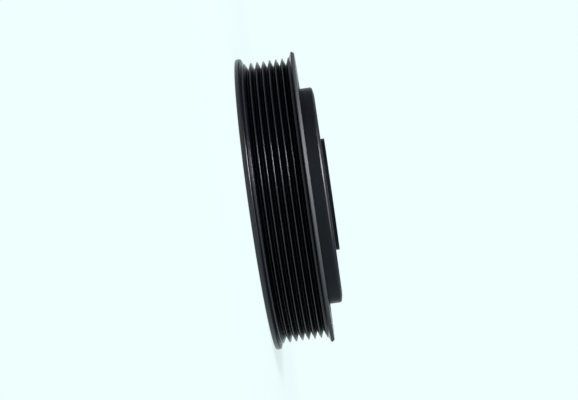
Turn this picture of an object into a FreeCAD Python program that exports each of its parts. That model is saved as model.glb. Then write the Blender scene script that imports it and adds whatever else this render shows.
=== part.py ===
import FreeCAD, Part

import os
import re

import Sketcher

# Crankshaft pulley with a rubber torsional damper, in millimetres.
# The axis is Z, the front face lies at z = 0 and +Z points to the engine.
# Sections are drawn in the XZ plane: x is the radius and y is the height along the axis.
# The radii grow outwards from the bore, each piece from the one that it fits on.

SIZES = {
    # Turned core: bore, seat for the crankshaft and the collar in front of the web
    "core_bore_radius": 15.0,
    "core_bore_edge": 1.0,
    "seat_width": 17.0,
    "seat_height": 2.1,
    "collar_width": 6.0,
    "collar_thickness": 5.0,
    "collar_edge": 1.0,
    # Bolt circle and locating hole in the core, measured from its bore
    "bolt_count": 4,
    "bolt_hole": 8.6,
    "bolt_offset": 8.0,
    "dowel_hole": 6.0,
    "dowel_offset": 8.5,
    "dowel_angle": 45,
    # Pot-shaped hub shell
    "web_span": 18.8,
    "web_thickness": 5.0,
    "web_corner": 3.0,
    "shell_wall": 5.0,
    "shell_inset": 3.0,
    "hub_standout": 8.0,
    "shoulder_width": 4.4,
    "shoulder_drop": 0.85,
    "shoulder_edge_width": 0.6,
    "shoulder_edge_drop": 0.9,
    # Round windows in the web, measured from the collar
    "window_count": 4,
    "window_radius": 6.5,
    "window_offset": 8.0,
    "window_angle": 45,
    # Rubber ring
    "rubber_thickness": 5.0,
    "rubber_inset": 3.0,
    # Belt ring, from its bore to the rib crests and the flange rims
    "ring_wall": 13.4,
    "flange_height": 3.0,
    "front_edge": 0.5,
    "front_rim": 2.65,
    "front_slope": 1.0,
    "front_land": 1.195,
    "rear_land": 0.675,
    "rear_slope": 1.35,
    "rear_rim": 1.81,
    "rear_edge_width": 0.95,
    "rear_edge_drop": 1.6,
    # Belt track: grooves of 40 degrees at the standard rib pitch
    "groove_count": 7,
    "rib_pitch": 3.56,
    "crest_width": 0.45,
    "flank_angle": 20,
    "cutter_overrun": 0.6,
    # Balance drillings in the rear face, measured from the bore of the belt ring
    "balance_hole": 7.0,
    "balance_depth": 4.0,
    "balance_offset": 5.1,
    "balance_angle": 205,
    "balance_spacing": 14,
}

# Radii, from the bore outwards
SEAT_RADIUS = "(core_bore_radius + seat_width)"
COLLAR_RADIUS = f"({SEAT_RADIUS} + collar_width)"
SHELL_BORE = f"({COLLAR_RADIUS} + web_span)"
HUB_RADIUS = f"({SHELL_BORE} + shell_wall)"
RING_BORE = f"({HUB_RADIUS} + rubber_thickness)"
CREST_RADIUS = f"({RING_BORE} + ring_wall)"
FLANGE_RADIUS = f"({CREST_RADIUS} + flange_height)"

# Places along the axis, from the front face to the crankshaft seat
MOUTH_REACH = "((rib_pitch - crest_width) / 2)"
TRACK_START = "(front_rim + front_slope + front_land)"
FIRST_GROOVE = f"({TRACK_START} + {MOUTH_REACH})"
TRACK_LENGTH = "((groove_count - 1) * rib_pitch)"
TRACK_END = f"({FIRST_GROOVE} + {TRACK_LENGTH} + {MOUTH_REACH})"
REAR_SLOPE_START = f"({TRACK_END} + rear_land)"
REAR_RIM_START = f"({REAR_SLOPE_START} + rear_slope)"
RING_REAR = f"({REAR_RIM_START} + rear_rim)"
RUBBER_REAR = f"({RING_REAR} - rubber_inset)"
HUB_REAR = f"({RING_REAR} + hub_standout)"
SHOULDER_START = f"({HUB_REAR} - shoulder_drop)"
WEB_FRONT = f"({HUB_REAR} - web_thickness)"
CORE_FRONT = f"({WEB_FRONT} - collar_thickness)"
SEAT_FACE = f"({HUB_REAR} + seat_height)"

doc = FreeCAD.newDocument("crankshaft_pulley")


def fill_sheet():
    """Writes each driving dimension to a cell of the sheet, under its own name."""
    cells = doc.addObject("Spreadsheet::Sheet", "sizes")
    for row, (name, size) in enumerate(SIZES.items(), start=1):
        cells.set(f"A{row}", name)
        cells.set(f"B{row}", str(size))
        cells.setAlias(f"B{row}", name)
    doc.recompute()
    return cells


sheet = fill_sheet()


def bound(formula):
    """Points every size that a formula names at its cell in the sheet."""
    return re.sub(r"[a-z]+(_[a-z]+)+", r"sizes.\g<0>", formula)


def measure(formula):
    """Works a formula out with the sizes in the sheet."""
    return float(sheet.evalExpression(formula))


def new_body(name):
    body = doc.addObject("PartDesign::Body", name)
    body.Label = name
    body.Placement = FreeCAD.Placement()
    return body


def new_sketch(body, name, role, height="0"):
    """Opens a sketch on one of the body's origin planes, or at a height above it."""
    sketch = body.newObject("Sketcher::SketchObject", name)
    plane = next(item for item in body.Origin.OriginFeatures if item.Role == role)
    sketch.AttachmentSupport = [(plane, "")]
    sketch.MapMode = "FlatFace"
    sketch.setExpression("AttachmentOffset.Base.z", bound(height))
    return sketch


def constrain(sketch, formula, kind, *places):
    """Adds a constraint whose value follows a formula."""
    index = sketch.addConstraint(Sketcher.Constraint(kind, *places, measure(formula)))
    sketch.setExpression(f"Constraints[{index}]", bound(formula))


def pin(sketch, geometry, point, corner):
    """Fixes a point of the sketch at the two formulas of a corner."""
    constrain(sketch, corner[0], "DistanceX", -1, 1, geometry, point)
    constrain(sketch, corner[1], "DistanceY", -1, 1, geometry, point)


def draw_outline(sketch, corners):
    """Draws a closed outline of straight runs through corners, each a pair of formulas."""
    points = [FreeCAD.Vector(measure(x), measure(y), 0) for x, y in corners]
    lines = []
    for start, end in zip(points, points[1:] + points[:1]):
        lines.append(sketch.addGeometry(Part.LineSegment(start, end), False))
    for number, (line, corner) in enumerate(zip(lines, corners)):
        sketch.addConstraint(Sketcher.Constraint("Coincident", lines[number - 1], 2, line, 1))
        pin(sketch, line, 1, corner)


def draw_hole(sketch, circle, angle, diameter):
    """Draws a hole whose centre lies on a circle about the axis, at an angle."""
    corner = (f"{circle} * cos({angle})", f"{circle} * sin({angle})")
    centre = FreeCAD.Vector(measure(corner[0]), measure(corner[1]), 0)
    outline = Part.Circle(centre, FreeCAD.Vector(0, 0, 1), measure(diameter) / 2)
    geometry = sketch.addGeometry(outline, False)
    pin(sketch, geometry, 3, corner)
    constrain(sketch, diameter, "Diameter", geometry)


def turn(body, name, corners, kind="PartDesign::Revolution"):
    """Turns an outline once round the axis, to add a solid or to cut a groove."""
    sketch = new_sketch(body, f"{name}_outline", "XZ_Plane")
    draw_outline(sketch, corners)
    doc.recompute()
    feature = body.newObject(kind, name)
    feature.Profile = sketch
    feature.ReferenceAxis = (sketch, ["V_Axis"])
    feature.Angle = 360
    doc.recompute()
    return feature


def repeat_round(body, name, feature, sketch, count):
    """Repeats a cut evenly round the axis."""
    pattern = body.newObject("PartDesign::PolarPattern", name)
    pattern.Originals = [feature]
    pattern.Axis = (sketch, ["N_Axis"])
    pattern.Angle = 360
    pattern.setExpression("Occurrences", bound(count))
    body.Tip = pattern
    doc.recompute()


def drill(body, name, sketch, diameter):
    """Starts a drilled hole that runs down from the plane of a sketch."""
    doc.recompute()
    hole = body.newObject("PartDesign::Hole", name)
    hole.Profile = sketch
    doc.recompute()
    hole.setExpression("Diameter", bound(diameter))
    return hole


def drill_through(body, name, sketch, diameter):
    hole = drill(body, name, sketch, diameter)
    hole.DepthType = "ThroughAll"
    doc.recompute()
    return hole


def make_ring_blank(body):
    """Belt ring before its grooves are cut: a wide front rim and a thin rear flange."""
    turn(body, "ring_blank", [
        (RING_BORE, "0"),
        (f"{FLANGE_RADIUS} - front_edge", "0"),
        (FLANGE_RADIUS, "front_edge"),
        (FLANGE_RADIUS, "front_rim"),
        (CREST_RADIUS, "front_rim + front_slope"),
        (CREST_RADIUS, REAR_SLOPE_START),
        (FLANGE_RADIUS, REAR_RIM_START),
        (FLANGE_RADIUS, f"{RING_REAR} - rear_edge_drop"),
        (f"{FLANGE_RADIUS} - rear_edge_width", RING_REAR),
        (RING_BORE, RING_REAR),
    ])


def cut_belt_track(body):
    """Cuts the first V-groove and repeats it along the axis, which leaves the ribs between."""
    root_radius = f"({CREST_RADIUS} - {MOUTH_REACH} / tan(flank_angle))"
    mouth_radius = f"({CREST_RADIUS} + cutter_overrun)"
    mouth_reach = f"({MOUTH_REACH} + cutter_overrun * tan(flank_angle))"
    groove = turn(body, "v_groove", [
        (mouth_radius, f"{FIRST_GROOVE} - {mouth_reach}"),
        (root_radius, FIRST_GROOVE),
        (mouth_radius, f"{FIRST_GROOVE} + {mouth_reach}"),
    ], "PartDesign::Groove")
    track = body.newObject("PartDesign::LinearPattern", "belt_track")
    track.Originals = [groove]
    track.Direction = (groove.Profile[0], ["V_Axis"])
    track.setExpression("Length", bound(TRACK_LENGTH))
    track.setExpression("Occurrences", bound("groove_count"))
    body.Tip = track
    doc.recompute()


def drill_balance_holes(body):
    """Two blind drillings in the rear face, where metal was taken out to balance the ring."""
    circle = f"({RING_BORE} + balance_offset)"
    sketch = new_sketch(body, "balance_places", "XY_Plane", RING_REAR)
    draw_hole(sketch, circle, "balance_angle", "balance_hole")
    draw_hole(sketch, circle, "balance_angle + balance_spacing", "balance_hole")
    holes = drill(body, "balance_drillings", sketch, "balance_hole")
    holes.DepthType = "Dimension"
    holes.DrillPoint = "Angled"
    holes.DrillPointAngle = 118
    holes.setExpression("Depth", bound("balance_depth"))
    doc.recompute()


def make_belt_ring():
    """Turned ring that carries the belt and is the damper's mass."""
    body = new_body("belt_ring")
    make_ring_blank(body)
    cut_belt_track(body)
    drill_balance_holes(body)
    return body


def make_damper_rubber():
    """Rubber ring bonded to the shell inside it and to the belt ring around it."""
    body = new_body("damper_rubber")
    turn(body, "rubber_section", [
        (HUB_RADIUS, "rubber_inset"),
        (RING_BORE, "rubber_inset"),
        (RING_BORE, RUBBER_REAR),
        (HUB_RADIUS, RUBBER_REAR),
    ])
    return body


def make_hub_shell():
    """Pot that is open to the front, with a sloped rear shoulder and round windows in its web."""
    body = new_body("hub_shell")
    turn(body, "shell_section", [
        (SHELL_BORE, "shell_inset"),
        (HUB_RADIUS, "shell_inset"),
        (HUB_RADIUS, f"{SHOULDER_START} - shoulder_edge_drop"),
        (f"{HUB_RADIUS} - shoulder_edge_width", SHOULDER_START),
        (f"{HUB_RADIUS} - shoulder_edge_width - shoulder_width", HUB_REAR),
        (SEAT_RADIUS, HUB_REAR),
        (SEAT_RADIUS, WEB_FRONT),
        (f"{SHELL_BORE} - web_corner", WEB_FRONT),
        (SHELL_BORE, f"{WEB_FRONT} - web_corner"),
    ])
    sketch = new_sketch(body, "window_place", "XY_Plane")
    draw_hole(sketch, f"({COLLAR_RADIUS} + window_offset)", "window_angle", "window_radius * 2")
    doc.recompute()
    window = body.newObject("PartDesign::Pocket", "window")
    window.Profile = sketch
    window.Type = "ThroughAll"
    window.Reversed = True
    doc.recompute()
    repeat_round(body, "windows", window, sketch, "window_count")
    return body


def make_hub_core():
    """Turned core pressed into the web, with its collar in front and the seat behind."""
    body = new_body("hub_core")
    turn(body, "core_section", [
        ("core_bore_radius", CORE_FRONT),
        (f"{COLLAR_RADIUS} - collar_edge", CORE_FRONT),
        (COLLAR_RADIUS, f"{CORE_FRONT} + collar_edge"),
        (COLLAR_RADIUS, WEB_FRONT),
        (SEAT_RADIUS, WEB_FRONT),
        (SEAT_RADIUS, SEAT_FACE),
        ("core_bore_radius + core_bore_edge", SEAT_FACE),
        ("core_bore_radius", f"{SEAT_FACE} - core_bore_edge"),
    ])
    dowel_sketch = new_sketch(body, "dowel_place", "XY_Plane", SEAT_FACE)
    draw_hole(dowel_sketch, "(core_bore_radius + dowel_offset)", "dowel_angle", "dowel_hole")
    drill_through(body, "dowel_drilling", dowel_sketch, "dowel_hole")
    bolt_sketch = new_sketch(body, "bolt_place", "XY_Plane", SEAT_FACE)
    draw_hole(bolt_sketch, "(core_bore_radius + bolt_offset)", "0", "bolt_hole")
    bolt = drill_through(body, "bolt_drilling", bolt_sketch, "bolt_hole")
    repeat_round(body, "bolt_drillings", bolt, bolt_sketch, "bolt_count")
    return body


def check_document():
    """Stops when any feature failed to build."""
    for item in doc.Objects:
        if "Invalid" in item.State or "Error" in item.State:
            raise RuntimeError(f"{item.Name} failed: {item.State}")


def export_parts(bodies):
    """Checks each piece and writes it to a file of its own name."""
    for body in bodies:
        if body.Shape.isNull() or not body.Shape.isValid() or len(body.Shape.Solids) != 1:
            raise RuntimeError(f"{body.Label} is not one valid solid")
        print(f"{body.Label}: {body.Shape.Volume / 1000:.2f} cm3")
    os.makedirs("parts", exist_ok=True)
    for body in bodies:
        body.Shape.exportStep(f"parts/{body.Label}.step")


bodies = [make_belt_ring(), make_damper_rubber(), make_hub_shell(), make_hub_core()]
doc.recompute()
check_document()
export_parts(bodies)
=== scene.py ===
import math

import bmesh
import bpy
from mathutils import Matrix, Vector


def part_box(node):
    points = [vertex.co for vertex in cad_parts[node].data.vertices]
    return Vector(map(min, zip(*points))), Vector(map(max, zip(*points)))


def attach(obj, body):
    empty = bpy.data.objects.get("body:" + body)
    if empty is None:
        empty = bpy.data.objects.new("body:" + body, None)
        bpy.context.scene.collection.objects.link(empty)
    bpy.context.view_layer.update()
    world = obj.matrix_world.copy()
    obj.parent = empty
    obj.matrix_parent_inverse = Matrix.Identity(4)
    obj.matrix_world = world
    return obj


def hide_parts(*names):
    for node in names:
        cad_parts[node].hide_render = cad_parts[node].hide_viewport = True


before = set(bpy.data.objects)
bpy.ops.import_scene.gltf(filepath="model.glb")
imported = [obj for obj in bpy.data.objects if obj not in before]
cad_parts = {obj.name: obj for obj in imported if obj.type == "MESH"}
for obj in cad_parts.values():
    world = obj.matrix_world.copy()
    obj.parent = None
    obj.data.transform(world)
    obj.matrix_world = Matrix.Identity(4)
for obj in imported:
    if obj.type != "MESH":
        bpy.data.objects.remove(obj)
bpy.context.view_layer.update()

# Crankshaft pulley with a rubber torsional damper. The axis is Z and the front face lies at z = 0.
MM = 0.001
BODY = "root"

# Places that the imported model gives
_, ring_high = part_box("belt_ring")
rubber_low, rubber_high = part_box("damper_rubber")
shell_low, shell_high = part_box("hub_shell")
core_low, core_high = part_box("hub_core")
FLANGE_RADIUS = ring_high.x
RING_REAR = ring_high.z
RING_BORE = rubber_high.x
HUB_RADIUS = shell_high.x
SHELL_FRONT = shell_low.z
HUB_REAR = shell_high.z
COLLAR_RADIUS = core_high.x
CORE_FRONT = core_low.z
SEAT_FACE = core_high.z

# Belt track
RIB_PITCH = 3.56 * MM
GROOVE_COUNT = 7
FLANK_ANGLE = math.radians(20)
CREST_WIDTH = 0.45 * MM
CREST_ROUND = 0.3 * MM
ROOT_ROUND = 0.12 * MM

# Flanges and edges of the belt ring
FLANGE_HEIGHT = 3.0 * MM
FRONT_RIM = 2.65 * MM
FRONT_SLOPE = 1.0 * MM
FRONT_LAND = 1.195 * MM
FRONT_CORNER = 0.6 * MM
REAR_SLOPE = 1.35 * MM
REAR_RIM = 1.81 * MM
REAR_TAPER = (0.95 * MM, 1.45 * MM)
REAR_CORNER = 0.4 * MM
RIM_EDGE_ROUND = 0.7 * MM
REAR_EDGE_ROUND = 0.1 * MM
REAR_TAPER_ROUND = 0.8 * MM
SLOPE_FOOT_ROUND = 0.08 * MM
FRONT_LAND_CUT = (2.4 * MM, 0.45 * MM)
FRONT_LAND_ROUND = 0.3 * MM
RING_BORE_ROUND = 0.8 * MM

# Balance drillings in the rear face of the belt ring
BALANCE_RADIUS = 3.5 * MM
BALANCE_DEPTH = 4.0 * MM
BALANCE_POINT = 2.1 * MM
BALANCE_INSET = 5.1 * MM
BALANCE_ANGLES = (205, 219)
BALANCE_EDGE = 0.25 * MM

# Rubber ring
RUBBER_DISH = 0.8 * MM
RUBBER_DISH_STEPS = 6

# Hub shell
SHELL_WALL = 5.0 * MM
SHELL_EDGE = 0.9 * MM
WEB_THICKNESS = 5.0 * MM
WEB_CORNER = 4.0 * MM
SHOULDER_CORNERS = ((0.0, 1.65, 0.5), (0.6, 0.9, 0.8), (4.0, 0.1, 4.0), (6.0, 0.0, 3.0))
JOINT_EDGE = 0.2 * MM
WINDOW_RADIUS = 6.5 * MM
WINDOW_OFFSET = 8.0 * MM
WINDOW_ANGLES = (45, 135, 225, 315)
WINDOW_EDGE = 0.5 * MM

# Hub core
SEAT_RADIUS = 32.0 * MM
SEAT_EDGE = 0.2 * MM
COLLAR_EDGE = 0.8 * MM
CORE_BORE = 15.0 * MM
BORE_FRONT_EDGE = 0.4 * MM
BORE_REAR_EDGE = 1.0 * MM
BOLT_RADIUS = 4.3 * MM
BOLT_OFFSET = 8.0 * MM
BOLT_ANGLES = (0, 90, 180, 270)
DOWEL_RADIUS = 3.0 * MM
DOWEL_OFFSET = 8.5 * MM
DOWEL_ANGLE = 45
HOLE_EDGE = 0.4 * MM

# Fineness of the meshes
TURN_STEPS = 288
HOLE_STEPS = 64
ARC_STEP = math.radians(18)
MERGE_REACH = 0.002 * MM
CUT_REACH = 1.0 * MM
SMOOTH_ANGLE = math.radians(35)

# Camera, fitted to the photograph of 578 by 400 pixels
PHOTO_WIDTH = 578
FOCAL_PIXELS = 1317.9
SENSOR_WIDTH = 36.0
CAMERA_PLACE = (0.0, -0.7524, 0.04031)
CAMERA_YAW = math.radians(1.661)
CAMERA_ROLL = math.radians(-8.084)
CAMERA_CLIP = (0.01, 100)

# Pale surroundings of the photograph, as linear colour
PALE = (0.863, 1.0, 0.991, 1.0)

# Floor: how far its shadow reaches, and how far reflections see it lit
FLOOR_SIZE = 12.0
FLOOR_COLOUR = (0.575, 0.667, 0.66, 1.0)
FLOOR_SHADOW = 0.22
SHADOW_REACH = (0.09, 0.32)
FLOOR_LIT_PLACE = (0.10, -0.04, 0.0)
FLOOR_LIT_REACH = (0.13, 0.22)
FLOOR_FAR_LEVEL = 0.15

# Room that reflections see: dimmer towards -X, with a backdrop behind the pulley
# and the lit ground below it
ROOM_COLOUR = (0.8, 1.0, 1.08, 1.0)
ROOM_AXIS = (0.6, -0.8, 0.0)
ROOM_FADE = (-0.9, 0.9)
ROOM_LEVELS = (0.07, 0.34)
BACKDROP_EDGE = (0.85, 0.97)
BACKDROP_TOP = (0.12, 0.30)
BEHIND_START = (0.0, -0.25, 0.0)
BEHIND_EDGE = (0.89, 0.96)

# Part of a noise's values that a finish spreads over its range, and over its two colours
NOISE_RANGE = (0.25, 0.75)
COLOUR_RANGE = (0.3, 0.7)

# Coat of the belt ring, with its polished crests and its rough rear rim, both painted in a lighter
# colour as highlights
RING_COLOURS = ((0.0013, 0.0014, 0.0032), (0.0026, 0.0028, 0.006))
RING_CLOUDS = 9 * MM
RING_GLOSS = 0.7
FINE_LINES = 0.35 * MM
FINE_ROUGHNESS = (0.19, 0.27)
BROAD_LINES = 2.6 * MM
BROAD_ROUGHNESS = (0.0, 0.1)
RING_PEEL = 0.9 * MM
RING_BUMP = 0.004 * MM
# Lighter colour painted on the crests as a highlight
CREST_HIGHLIGHT_COLOUR = (0.012, 0.0122, 0.015)
CREST_POLISH = 0.05
CREST_BELOW = (0.25 * MM, 0.05 * MM)
CREST_ABOVE = (0.1 * MM, 0.4 * MM)
# Lighter colour painted on the rear rim as a highlight, with a rougher coat there
RIM_HIGHLIGHT_COLOUR = (0.038, 0.039, 0.043)
RIM_ROUGHNESS = 0.32
RIM_HEIGHTS = (0.2 * MM, 0.9 * MM)
RIM_RADII = (1.6 * MM, 2.0 * MM)

# Coat of the hub shell
SHELL_COLOURS = ((0.0025, 0.0028, 0.005), (0.0042, 0.0048, 0.009))
SHELL_CLOUDS = 14 * MM
SHELL_GLOSS = 0.7
SHELL_PATCHES = 5 * MM
SHELL_ROUGHNESS = (0.31, 0.39)
SHELL_PEEL = 1.1 * MM
SHELL_BUMP = 0.008 * MM

# Finish of the hub core
CORE_COLOURS = ((0.0014, 0.002, 0.0025), (0.0028, 0.004, 0.005))
CORE_CLOUDS = 3 * MM
CORE_GLOSS = 0.4
CORE_LINES = 0.25 * MM
CORE_ROUGHNESS = (0.38, 0.5)
CORE_LINES_BUMP = 0.006 * MM
CORE_GRAIN = 0.4 * MM
CORE_GRAIN_BUMP = 0.004 * MM

# Surface of the rubber
RUBBER_COLOURS = ((0.008, 0.008, 0.008), (0.016, 0.016, 0.016))
RUBBER_CLOUDS = 4 * MM
RUBBER_PATCHES = 2 * MM
RUBBER_ROUGHNESS = (0.62, 0.8)
RUBBER_GRAIN = 0.5 * MM
RUBBER_BUMP = 0.03 * MM


def deselect_all():
    bpy.ops.object.select_all(action="DESELECT")


def corner_arc(before, corner, after, rounding):
    """Points of the arc that rounds one corner of a section."""
    entry = (corner - before).normalized()
    leave = (after - corner).normalized()
    turn = math.atan2(entry.x * leave.y - entry.y * leave.x, entry.dot(leave))
    start = corner - entry * rounding * math.tan(abs(turn) / 2)
    inward = Vector((-entry.y, entry.x)) * math.copysign(rounding, turn)
    centre = start + inward
    spoke = start - centre
    steps = max(2, math.ceil(abs(turn) / ARC_STEP))
    turns = [turn * step / steps for step in range(steps + 1)]
    return [centre + Matrix.Rotation(part, 2) @ spoke for part in turns]


def rounded(corners):
    """Closed section through corners, each a radius, a height and the radius that rounds it."""
    places = [Vector(corner[:2]) for corner in corners]
    section = []
    for number, corner in enumerate(corners):
        if corner[2]:
            after = places[(number + 1) % len(places)]
            section.extend(corner_arc(places[number - 1], places[number], after, corner[2]))
        else:
            section.append(places[number])
    return section


def turn_section(name, section, centre=(0.0, 0.0), steps=TURN_STEPS):
    """Draws a closed section edge by edge and spins it once round an upright axis."""
    deselect_all()
    bpy.ops.mesh.primitive_plane_add(size=MM, location=(0, 0, 0))
    piece = bpy.context.object
    piece.name = name
    bpy.ops.object.mode_set(mode="EDIT")
    bpy.ops.mesh.select_all(action="SELECT")
    bpy.ops.mesh.merge(type="CENTER")
    bpy.ops.transform.translate(value=(centre[0] + section[0].x, centre[1], section[0].y))
    for before, after in zip(section, section[1:]):
        move = (after.x - before.x, 0, after.y - before.y)
        bpy.ops.mesh.extrude_region_move(TRANSFORM_OT_translate={"value": move})
    close_section(piece)
    bpy.ops.mesh.select_all(action="SELECT")
    bpy.ops.mesh.spin(steps=steps, angle=math.tau, center=(*centre, 0), axis=(0, 0, 1))
    bpy.ops.mesh.select_all(action="SELECT")
    bpy.ops.mesh.remove_doubles(threshold=MERGE_REACH)
    bpy.ops.mesh.normals_make_consistent(inside=False)
    bpy.ops.object.mode_set(mode="OBJECT")
    return piece


def close_section(piece):
    """Joins the two loose ends of a section with an edge."""
    mesh = bmesh.from_edit_mesh(piece.data)
    bpy.ops.mesh.select_all(action="DESELECT")
    for vertex in mesh.verts:
        vertex.select = len(vertex.link_edges) == 1
    bmesh.update_edit_mesh(piece.data)
    bpy.ops.mesh.edge_face_add()


def place_on_circle(radius, angle):
    turn = math.radians(angle)
    return radius * math.cos(turn), radius * math.sin(turn)


def through_cutter(centre, radius, low, high, edge):
    """Cutter for a hole between two heights, with both of its rims rounded."""
    return turn_section("cutter", rounded([
        (0, low - CUT_REACH, 0),
        (radius + edge, low - CUT_REACH, 0),
        (radius + edge, low, 0),
        (radius, low, edge),
        (radius, high, edge),
        (radius + edge, high, 0),
        (radius + edge, high + CUT_REACH, 0),
        (0, high + CUT_REACH, 0),
    ]), centre, HOLE_STEPS)


def drill_cutter(centre, radius, face, depth, point, edge):
    """Cutter for a blind hole below a face, with the cone that a drill leaves."""
    return turn_section("cutter", rounded([
        (0, face - depth - point, 0),
        (radius, face - depth, 0),
        (radius, face, edge),
        (radius + edge, face, 0),
        (radius + edge, face + CUT_REACH, 0),
        (0, face + CUT_REACH, 0),
    ]), centre, HOLE_STEPS)


def choose(piece):
    deselect_all()
    bpy.context.view_layer.objects.active = piece
    piece.select_set(True)


def apply_modifier(piece, modifier):
    choose(piece)
    bpy.ops.object.modifier_apply(modifier=modifier.name)


def cut(piece, cutters):
    """Takes the cutters out of a piece, removes them and clears the slivers that they leave."""
    for cutter in cutters:
        modifier = piece.modifiers.new("hole", "BOOLEAN")
        modifier.operation = "DIFFERENCE"
        modifier.solver = "EXACT"
        modifier.object = cutter
        apply_modifier(piece, modifier)
        bpy.data.objects.remove(cutter)
    bpy.ops.object.mode_set(mode="EDIT")
    bpy.ops.mesh.select_all(action="SELECT")
    bpy.ops.mesh.dissolve_degenerate(threshold=MERGE_REACH)
    bpy.ops.object.mode_set(mode="OBJECT")


def finish_piece(piece, node, material):
    """Smooths a piece, gives it its finish and lets it stand for its node."""
    choose(piece)
    bpy.ops.object.shade_smooth_by_angle(angle=SMOOTH_ANGLE)
    weighted = piece.modifiers.new("face_weights", "WEIGHTED_NORMAL")
    weighted.keep_sharp = True
    apply_modifier(piece, weighted)
    piece.data.materials.clear()
    piece.data.materials.append(material)
    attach(piece, BODY)
    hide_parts(node)


def groove_corners(crest_radius):
    """Corners of the V-grooves, from the front one to the rear one."""
    reach = (RIB_PITCH - CREST_WIDTH) / 2
    depth = reach / math.tan(FLANK_ANGLE)
    first = FRONT_RIM + FRONT_SLOPE + FRONT_LAND + reach
    corners = []
    for number in range(GROOVE_COUNT):
        middle = first + number * RIB_PITCH
        corners.append((crest_radius, middle - reach, CREST_ROUND))
        corners.append((crest_radius - depth, middle, ROOT_ROUND))
        corners.append((crest_radius, middle + reach, CREST_ROUND))
    cut_radius = crest_radius - FRONT_LAND_CUT[0]
    corners[:1] = [
        (crest_radius, first - reach - FRONT_LAND_CUT[1], FRONT_LAND_ROUND),
        (cut_radius, first - reach + FRONT_LAND_CUT[0] * math.tan(FLANK_ANGLE), FRONT_LAND_ROUND),
    ]
    return corners


def make_belt_ring(material):
    """Turned ring with the V-grooves between its two flanges."""
    crest_radius = FLANGE_RADIUS - FLANGE_HEIGHT
    corners = [
        (RING_BORE, 0, RING_BORE_ROUND),
        (FLANGE_RADIUS, 0, FRONT_CORNER),
        (FLANGE_RADIUS, FRONT_RIM, RIM_EDGE_ROUND),
        (crest_radius, FRONT_RIM + FRONT_SLOPE, SLOPE_FOOT_ROUND),
    ]
    corners += groove_corners(crest_radius)
    corners += [
        (crest_radius, RING_REAR - REAR_RIM - REAR_SLOPE, SLOPE_FOOT_ROUND),
        (FLANGE_RADIUS, RING_REAR - REAR_RIM, REAR_EDGE_ROUND),
        (FLANGE_RADIUS, RING_REAR - REAR_TAPER[1], REAR_TAPER_ROUND),
        (FLANGE_RADIUS - REAR_TAPER[0], RING_REAR, REAR_CORNER),
        (RING_BORE, RING_REAR, RING_BORE_ROUND),
    ]
    ring = turn_section("grooved_belt_ring", rounded(corners))
    circle = RING_BORE + BALANCE_INSET
    cut(ring, [
        drill_cutter(place_on_circle(circle, angle), BALANCE_RADIUS, RING_REAR, BALANCE_DEPTH,
                     BALANCE_POINT, BALANCE_EDGE)
        for angle in BALANCE_ANGLES
    ])
    finish_piece(ring, "belt_ring", material)


def dish(radius_from, radius_to, height, depth):
    """Points of a hollow end of the rubber, from one bonded edge to the other."""
    middle = (radius_from + radius_to) / 2
    half = (radius_to - radius_from) / 2
    points = []
    for step in range(RUBBER_DISH_STEPS * 2 + 1):
        radius = radius_from + (radius_to - radius_from) * step / (RUBBER_DISH_STEPS * 2)
        share = 1 - ((radius - middle) / half) ** 2
        points.append(Vector((radius, height + depth * share)))
    return points


def make_damper_rubber(material):
    """Rubber ring whose ends are hollow between the two metal rings."""
    section = dish(HUB_RADIUS, RING_BORE, rubber_low.z, RUBBER_DISH)
    section += dish(RING_BORE, HUB_RADIUS, rubber_high.z, -RUBBER_DISH)
    finish_piece(turn_section("bonded_rubber_ring", section), "damper_rubber", material)


def make_hub_shell(material):
    """Pot with a thick rim, a web with four round windows and a rounded rear shoulder."""
    shell_bore = HUB_RADIUS - SHELL_WALL
    web_front = HUB_REAR - WEB_THICKNESS
    corners = [
        (shell_bore, SHELL_FRONT, SHELL_EDGE),
        (HUB_RADIUS, SHELL_FRONT, SHELL_EDGE),
    ]
    for inset, drop, rounding in SHOULDER_CORNERS:
        corners.append((HUB_RADIUS - inset * MM, HUB_REAR - drop * MM, rounding * MM))
    corners += [
        (SEAT_RADIUS, HUB_REAR, JOINT_EDGE),
        (SEAT_RADIUS, web_front, JOINT_EDGE),
        (shell_bore, web_front, WEB_CORNER),
    ]
    shell = turn_section("pressed_hub_shell", rounded(corners))
    circle = COLLAR_RADIUS + WINDOW_OFFSET
    cut(shell, [
        through_cutter(place_on_circle(circle, angle), WINDOW_RADIUS, web_front, HUB_REAR,
                       WINDOW_EDGE)
        for angle in WINDOW_ANGLES
    ])
    finish_piece(shell, "hub_shell", material)


def make_hub_core(material):
    """Turned core with its bore, bolt holes, collar and crankshaft seat."""
    web_front = HUB_REAR - WEB_THICKNESS
    core = turn_section("turned_hub_core", rounded([
        (CORE_BORE, CORE_FRONT, BORE_FRONT_EDGE),
        (COLLAR_RADIUS, CORE_FRONT, COLLAR_EDGE),
        (COLLAR_RADIUS, web_front, JOINT_EDGE),
        (SEAT_RADIUS, web_front, 0),
        (SEAT_RADIUS, SEAT_FACE, SEAT_EDGE),
        (CORE_BORE, SEAT_FACE, BORE_REAR_EDGE),
    ]))
    holes = [(BOLT_OFFSET, angle, BOLT_RADIUS) for angle in BOLT_ANGLES]
    holes.append((DOWEL_OFFSET, DOWEL_ANGLE, DOWEL_RADIUS))
    cut(core, [
        through_cutter(place_on_circle(CORE_BORE + offset, angle), radius, CORE_FRONT, SEAT_FACE,
                       HOLE_EDGE)
        for offset, angle, radius in holes
    ])
    finish_piece(core, "hub_core", material)


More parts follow.
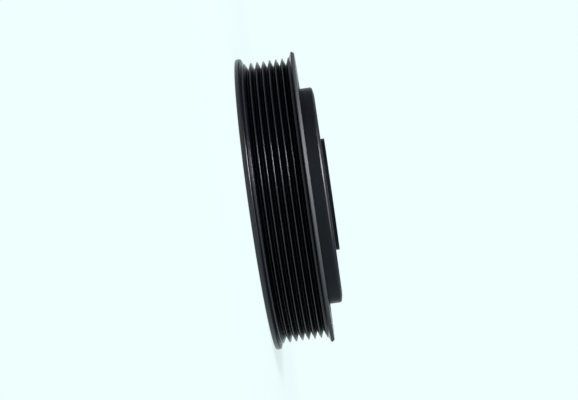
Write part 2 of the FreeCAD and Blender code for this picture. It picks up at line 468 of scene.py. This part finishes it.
class Graph:
    """Node tree that is built up from a few kinds of node."""

    def __init__(self, tree):
        self.tree = tree

    def node(self, kind, **settings):
        node = self.tree.nodes.new(kind)
        for name, value in settings.items():
            setattr(node, name, value)
        return node

    def join(self, output, target):
        self.tree.links.new(output, target)

    def math(self, operation, first, second):
        node = self.node("ShaderNodeMath", operation=operation)
        for socket, value in zip(node.inputs, (first, second)):
            if isinstance(value, (int, float)):
                socket.default_value = value
            else:
                self.join(value, socket)
        return node.outputs["Value"]

    def map_range(self, value, levels, **settings):
        """Maps a value from the range between the first two levels to that between the last two."""
        node = self.node("ShaderNodeMapRange", **settings)
        self.join(value, node.inputs["Value"])
        for name, level in zip(("From Min", "From Max", "To Min", "To Max"), levels):
            node.inputs[name].default_value = level
        return node.outputs["Result"]

    def fade(self, value, start, end, low=0.0, high=1.0):
        """Runs smoothly from one level to another while a value goes from start to end."""
        return self.map_range(value, (start, end, low, high), interpolation_type="SMOOTHSTEP")

    def along(self, direction, axis):
        """How far a direction points along an axis, from -1 to 1."""
        node = self.node("ShaderNodeVectorMath", operation="DOT_PRODUCT")
        self.join(direction, node.inputs[0])
        node.inputs[1].default_value = Vector(axis).normalized()
        return node.outputs["Value"]

    def reach(self, place, middle=(0.0, 0.0, 0.0)):
        """How far a place lies from a middle."""
        node = self.node("ShaderNodeVectorMath", operation="DISTANCE")
        self.join(place, node.inputs[0])
        node.inputs[1].default_value = middle
        return node.outputs["Value"]

    def mixed(self, share, first, second):
        node = self.node("ShaderNodeMixShader")
        self.join(share, node.inputs["Fac"])
        self.join(first, node.inputs[1])
        self.join(second, node.inputs[2])
        return node.outputs["Shader"]


class Finish(Graph):
    """A procedural material of the pulley."""

    def __init__(self, name):
        self.material = bpy.data.materials.new(name)
        self.material.use_nodes = True
        super().__init__(self.material.node_tree)
        self.shader = self.tree.nodes["Principled BSDF"]
        self.place = self.node("ShaderNodeTexCoord").outputs["Object"]

    def radius_and_height(self):
        split = self.node("ShaderNodeSeparateXYZ")
        self.join(self.place, split.inputs["Vector"])
        flat = self.node("ShaderNodeCombineXYZ")
        self.join(split.outputs["X"], flat.inputs["X"])
        self.join(split.outputs["Y"], flat.inputs["Y"])
        return self.reach(flat.outputs["Vector"]), split.outputs["Z"]

    def turning_lines(self, pitch, detail=2.0):
        """Fine rings left by a turning tool, as a value from 0 to 1."""
        noise = self.node("ShaderNodeTexNoise", noise_dimensions="1D")
        self.join(self.math("ADD", *self.radius_and_height()), noise.inputs["W"])
        noise.inputs["Scale"].default_value = 1 / pitch
        noise.inputs["Detail"].default_value = detail
        return noise.outputs["Fac"]

    def mottle(self, grain, detail=3.0):
        """Soft cloudy variation, as a value from 0 to 1."""
        noise = self.node("ShaderNodeTexNoise")
        self.join(self.place, noise.inputs["Vector"])
        noise.inputs["Scale"].default_value = 1 / grain
        noise.inputs["Detail"].default_value = detail
        return noise.outputs["Fac"]

    def spread(self, value, low, high):
        """Spreads the middle part of a noise's values over a range."""
        return self.map_range(value, (*NOISE_RANGE, low, high))

    def colours(self, value, dark, light):
        """Colours the surface between a dark and a light tone."""
        ramp = self.node("ShaderNodeValToRGB")
        for stop, position, colour in zip(ramp.color_ramp.elements, COLOUR_RANGE, (dark, light)):
            stop.position = position
            stop.color = (*colour, 1)
        self.join(value, ramp.inputs["Fac"])
        self.colour = ramp.outputs["Color"]
        self.join(self.colour, self.shader.inputs["Base Color"])

    def paint_highlight(self, share, highlight_colour):
        """Paints a lighter colour over the coat where its share is high, as a painted highlight."""
        mix = self.node("ShaderNodeMix", data_type="RGBA")
        self.join(share, mix.inputs["Factor"])
        self.join(self.colour, mix.inputs["A"])
        mix.inputs["B"].default_value = (*highlight_colour, 1)
        self.colour = mix.outputs["Result"]
        self.join(self.colour, self.shader.inputs["Base Color"])

    def roughness(self, value, low, high):
        self.join(self.spread(value, low, high), self.shader.inputs["Roughness"])

    def gloss(self, level):
        self.shader.inputs["Specular IOR Level"].default_value = level

    def bumps(self, *layers):
        """Stacks layers of bump, each a value and the height that it stands for."""
        normal = None
        for value, height in layers:
            bump = self.node("ShaderNodeBump")
            bump.inputs["Distance"].default_value = height
            self.join(value, bump.inputs["Height"])
            if normal:
                self.join(normal, bump.inputs["Normal"])
            normal = bump.outputs["Normal"]
        self.join(normal, self.shader.inputs["Normal"])


def black_ring_coat():
    """Satin black coat over turned steel, polished on the crests, rough on the rim, with a painted
    highlight of lighter colour on both.
    """
    coat = Finish("satin_black_over_turned_steel")
    lines = coat.turning_lines(FINE_LINES)
    passes = coat.turning_lines(BROAD_LINES)
    peel = coat.mottle(RING_PEEL)
    radius, height = coat.radius_and_height()
    crest_radius = FLANGE_RADIUS - FLANGE_HEIGHT
    rim_start = RING_REAR - REAR_RIM
    # Crests: painted lighter as a highlight, and made smoother
    crest = coat.math(
        "MULTIPLY",
        coat.fade(radius, crest_radius - CREST_BELOW[0], crest_radius - CREST_BELOW[1]),
        coat.fade(radius, crest_radius + CREST_ABOVE[0], crest_radius + CREST_ABOVE[1], 1.0, 0.0),
    )
    # Rear rim: painted lighter as a highlight, and made rougher
    rim = coat.math(
        "MULTIPLY",
        coat.fade(height, rim_start - RIM_HEIGHTS[0], rim_start + RIM_HEIGHTS[1]),
        coat.fade(radius, crest_radius + RIM_RADII[0], crest_radius + RIM_RADII[1]),
    )
    coat.colours(coat.mottle(RING_CLOUDS), *RING_COLOURS)
    # Painted highlight: a lighter colour on the crests, standing in for the light they catch
    coat.paint_highlight(crest, CREST_HIGHLIGHT_COLOUR)
    # Painted highlight: a lighter colour on the rear rim, standing in for its lit band
    coat.paint_highlight(rim, RIM_HIGHLIGHT_COLOUR)
    coat.gloss(RING_GLOSS)
    fine = coat.spread(lines, *FINE_ROUGHNESS)
    satin = coat.math("ADD", fine, coat.spread(passes, *BROAD_ROUGHNESS))
    rough = coat.math("MULTIPLY", rim, RIM_ROUGHNESS)
    wear = coat.math("SUBTRACT", rough, coat.math("MULTIPLY", crest, CREST_POLISH))
    coat.join(coat.math("ADD", satin, wear), coat.shader.inputs["Roughness"])
    coat.bumps((lines, RING_BUMP), (peel, RING_BUMP))
    return coat.material


def black_shell_coat():
    """Smoother black coat on the pressed shell, with a faint orange peel."""
    coat = Finish("black_dip_coat_on_pressed_steel")
    coat.colours(coat.mottle(SHELL_CLOUDS), *SHELL_COLOURS)
    coat.roughness(coat.mottle(SHELL_PATCHES), *SHELL_ROUGHNESS)
    coat.gloss(SHELL_GLOSS)
    coat.bumps((coat.mottle(SHELL_PEEL), SHELL_BUMP))
    return coat.material


def dark_core_finish():
    """Oiled black phosphate on the turned core."""
    finish = Finish("black_phosphate_on_turned_steel")
    lines = finish.turning_lines(CORE_LINES)
    finish.colours(finish.mottle(CORE_CLOUDS), *CORE_COLOURS)
    finish.roughness(lines, *CORE_ROUGHNESS)
    finish.gloss(CORE_GLOSS)
    finish.bumps((lines, CORE_LINES_BUMP), (finish.mottle(CORE_GRAIN), CORE_GRAIN_BUMP))
    return finish.material


def damper_rubber_finish():
    """Matte moulded rubber with a fine skin."""
    finish = Finish("matte_damper_rubber")
    finish.colours(finish.mottle(RUBBER_CLOUDS), *RUBBER_COLOURS)
    finish.roughness(finish.mottle(RUBBER_PATCHES), *RUBBER_ROUGHNESS)
    finish.bumps((finish.mottle(RUBBER_GRAIN), RUBBER_BUMP))
    return finish.material


def add_camera():
    """Side view with the axis level in the picture, turned and rolled a little as photographed."""
    lens = bpy.data.cameras.new("camera")
    lens.sensor_fit = "HORIZONTAL"
    lens.sensor_width = SENSOR_WIDTH
    lens.lens = FOCAL_PIXELS * SENSOR_WIDTH / PHOTO_WIDTH
    lens.clip_start, lens.clip_end = CAMERA_CLIP
    camera = bpy.data.objects.new("camera", lens)
    bpy.context.scene.collection.objects.link(camera)
    side = Matrix(((0, -1, 0), (0, 0, -1), (1, 0, 0))).to_4x4()
    turn = Matrix.Rotation(CAMERA_YAW, 4, "Y") @ Matrix.Rotation(CAMERA_ROLL, 4, "Z")
    camera.matrix_world = Matrix.Translation(CAMERA_PLACE) @ side @ turn
    bpy.context.scene.camera = camera


def seen_directly(graph, path):
    """Value of 1 for rays that see the background as it is: from the camera and through glass."""
    return graph.math("MAXIMUM", path.outputs["Is Camera Ray"], path.outputs["Is Transmission Ray"])


def add_floor():
    """Pale floor that shows as the background colour and keeps the shadow close to the pulley."""
    deselect_all()
    bpy.ops.mesh.primitive_plane_add(size=FLOOR_SIZE, location=(0, 0, 0))
    floor = bpy.context.object
    floor.name = "floor"
    material = bpy.data.materials.new("pale_floor")
    material.use_nodes = True
    graph = Graph(material.node_tree)
    graph.tree.nodes.clear()
    path = graph.node("ShaderNodeLightPath")
    glossy = path.outputs["Is Glossy Ray"]
    place = graph.node("ShaderNodeTexCoord").outputs["Object"]
    pale = graph.node("ShaderNodeEmission")
    pale.inputs["Color"].default_value = PALE
    away = graph.node("ShaderNodeVectorMath", operation="SUBTRACT")
    graph.join(place, away.inputs[0])
    away.inputs[1].default_value = BEHIND_START
    offset = away.outputs["Vector"]
    behind = graph.math("DIVIDE", graph.along(offset, (0, 1, 0)), graph.reach(offset))
    lit_reach = graph.reach(place, FLOOR_LIT_PLACE)
    dim = graph.math(
        "MULTIPLY",
        graph.fade(behind, *BEHIND_EDGE, 1.0, 0.0),
        graph.fade(lit_reach, *FLOOR_LIT_REACH, 0.0, 1 - FLOOR_FAR_LEVEL),
    )
    dimmed = graph.math("MULTIPLY", glossy, dim)
    graph.join(graph.math("SUBTRACT", 1.0, dimmed), pale.inputs["Strength"])
    matte = graph.node("ShaderNodeBsdfDiffuse")
    matte.inputs["Color"].default_value = FLOOR_COLOUR
    background = graph.math("MAXIMUM", seen_directly(graph, path), glossy)
    shadow = graph.fade(graph.reach(place), *SHADOW_REACH, 1 - FLOOR_SHADOW, 1.0)
    share = graph.math("MULTIPLY", background, shadow)
    surface = graph.mixed(share, matte.outputs["BSDF"], pale.outputs["Emission"])
    graph.join(surface, graph.node("ShaderNodeOutputMaterial").inputs["Surface"])
    floor.data.materials.append(material)


def add_world():
    """Pale background, which reflections see as a backdrop behind the pulley in a dimmer room."""
    world = bpy.data.worlds.new("studio")
    bpy.context.scene.world = world
    world.use_nodes = True
    graph = Graph(world.node_tree)
    graph.tree.nodes.clear()
    path = graph.node("ShaderNodeLightPath")
    direction = graph.node("ShaderNodeTexCoord").outputs["Generated"]
    pale = graph.node("ShaderNodeBackground")
    pale.inputs["Color"].default_value = PALE
    room = graph.node("ShaderNodeBackground")
    room.inputs["Color"].default_value = ROOM_COLOUR
    level = graph.fade(graph.along(direction, ROOM_AXIS), *ROOM_FADE, *ROOM_LEVELS)
    graph.join(level, room.inputs["Strength"])
    backdrop = graph.math(
        "MULTIPLY",
        graph.fade(graph.along(direction, (0, 1, 0)), *BACKDROP_EDGE),
        graph.fade(graph.along(direction, (0, 0, 1)), *BACKDROP_TOP, 1.0, 0.0),
    )
    mirrored = graph.math("MULTIPLY", path.outputs["Is Glossy Ray"], backdrop)
    share = graph.math("MAXIMUM", seen_directly(graph, path), mirrored)
    surface = graph.mixed(share, room.outputs["Background"], pale.outputs["Background"])
    graph.join(surface, graph.node("ShaderNodeOutputWorld").inputs["Surface"])


def add_softbox(name, direction, distance, size, radiance, colour):
    """Square area lamp that looks at the middle of the pulley from a direction."""
    lamp = bpy.data.lights.new(name, "AREA")
    lamp.shape = "SQUARE"
    lamp.size = size
    lamp.energy = radiance * math.pi * size ** 2
    lamp.color = colour
    box = bpy.data.objects.new(name, lamp)
    bpy.context.scene.collection.objects.link(box)
    towards = Vector(direction).normalized()
    turn = towards.to_track_quat("Z", "Y").to_matrix().to_4x4()
    box.matrix_world = Matrix.Translation(Vector((0, 0, RING_REAR / 2)) + towards * distance) @ turn
    box.visible_camera = False


add_camera()
make_belt_ring(black_ring_coat())
make_damper_rubber(damper_rubber_finish())
make_hub_shell(black_shell_coat())
make_hub_core(dark_core_finish())
add_floor()
add_world()
add_softbox("overhead_softbox", direction=(0.0, -0.1, 1.0), distance=0.9, size=0.7, radiance=2.25,
            colour=(1.0, 1.0, 1.0))
add_softbox("key_softbox", direction=(-0.375, -0.40, 0.837), distance=1.0, size=0.33, radiance=33.0,
            colour=(1.0, 0.98, 1.08))
bpy.context.scene.view_settings.view_transform = "Standard"
